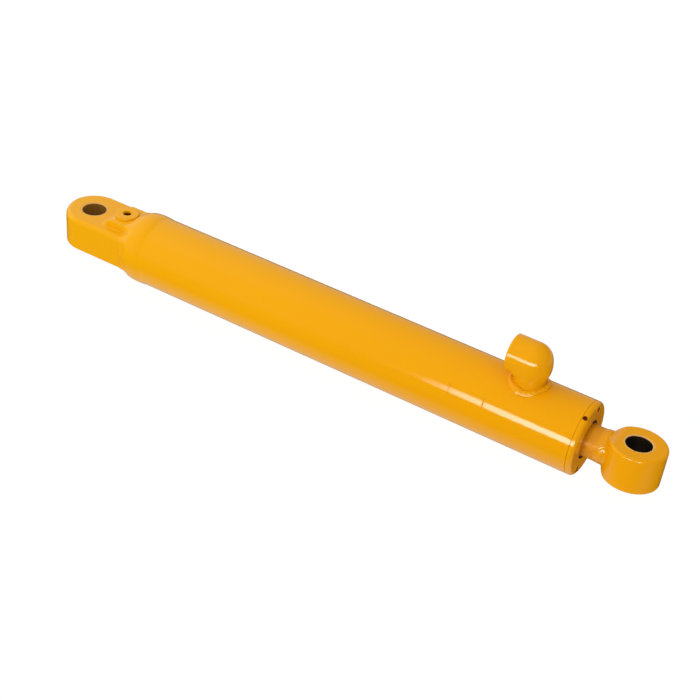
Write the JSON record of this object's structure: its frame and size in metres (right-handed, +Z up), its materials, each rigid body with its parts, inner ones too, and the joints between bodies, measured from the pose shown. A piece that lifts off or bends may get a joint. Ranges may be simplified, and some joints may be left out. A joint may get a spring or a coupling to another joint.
{
  "type": "hydraulic cylinder",
  "caption": "Double-acting welded hydraulic cylinder: forged base lug with port pad, barrel with a port elbow, screwed gland, chromed rod and a round rod eye.",
  "frame": {"origin": "centre of the underside of the bounding box with the rod fully retracted; the cylinder's own axis is the line y = 0, z = 0.0523, and the base pin's axis crosses it at x = -0.4331", "axes": "+X along the cylinder from the base pin to the rod eye, +Z up, along the base pin's axis, on the side of the two ports"},
  "size_m": [0.9484, 0.1046, 0.1593],
  "materials": {
    "yellow_paint": "gloss machine enamel over shot-blasted steel",
    "hard_chrome": "ground and polished hard chrome, with overspray of paint beside the rod eye",
    "machined_steel": "turned",
    "bush_steel": "oiled, bored",
    "nitrile_rubber": "matt",
    "seal_urethane": "satin",
    "wiper_urethane": "satin",
    "guide_nylon": "satin"
  },
  "bodies": {
    "barrel": {"barrel_tube": "yellow_paint", "base_cap": "yellow_paint", "base_weld": "yellow_paint", "base_pin_bush": "bush_steel", "port_elbow": "yellow_paint", "port_elbow_weld": "yellow_paint", "gland": "yellow_paint", "gland_o_ring": "nitrile_rubber", "gland_backup_ring": "guide_nylon", "rod_guide_band_inner": "guide_nylon", "rod_guide_band_outer": "guide_nylon", "rod_buffer_seal": "seal_urethane", "rod_seal": "seal_urethane", "rod_wiper": "wiper_urethane"},
    "piston_rings": {"piston_wear_ring_rear": "guide_nylon", "piston_wear_ring_front": "guide_nylon", "piston_seal": "seal_urethane", "piston_seal_energiser": "nitrile_rubber"},
    "rod": {"rod_shaft": "hard_chrome", "piston": "machined_steel", "piston_o_ring": "nitrile_rubber", "piston_nut": "machined_steel", "rod_eye": "yellow_paint", "rod_eye_weld": "yellow_paint", "rod_eye_bush": "bush_steel"}
  },
  "joints": [
    {"name": "rod_extend", "type": "slide", "parent": "barrel", "child": "piston_rings", "axis": [1, 0, 0], "range_m": [0, 0.508]},
    {"name": "rod_turn", "type": "hinge", "parent": "piston_rings", "child": "rod", "pos_m": [0, 0, 0.0523], "axis": [1, 0, 0], "continuous": true}
  ]
}
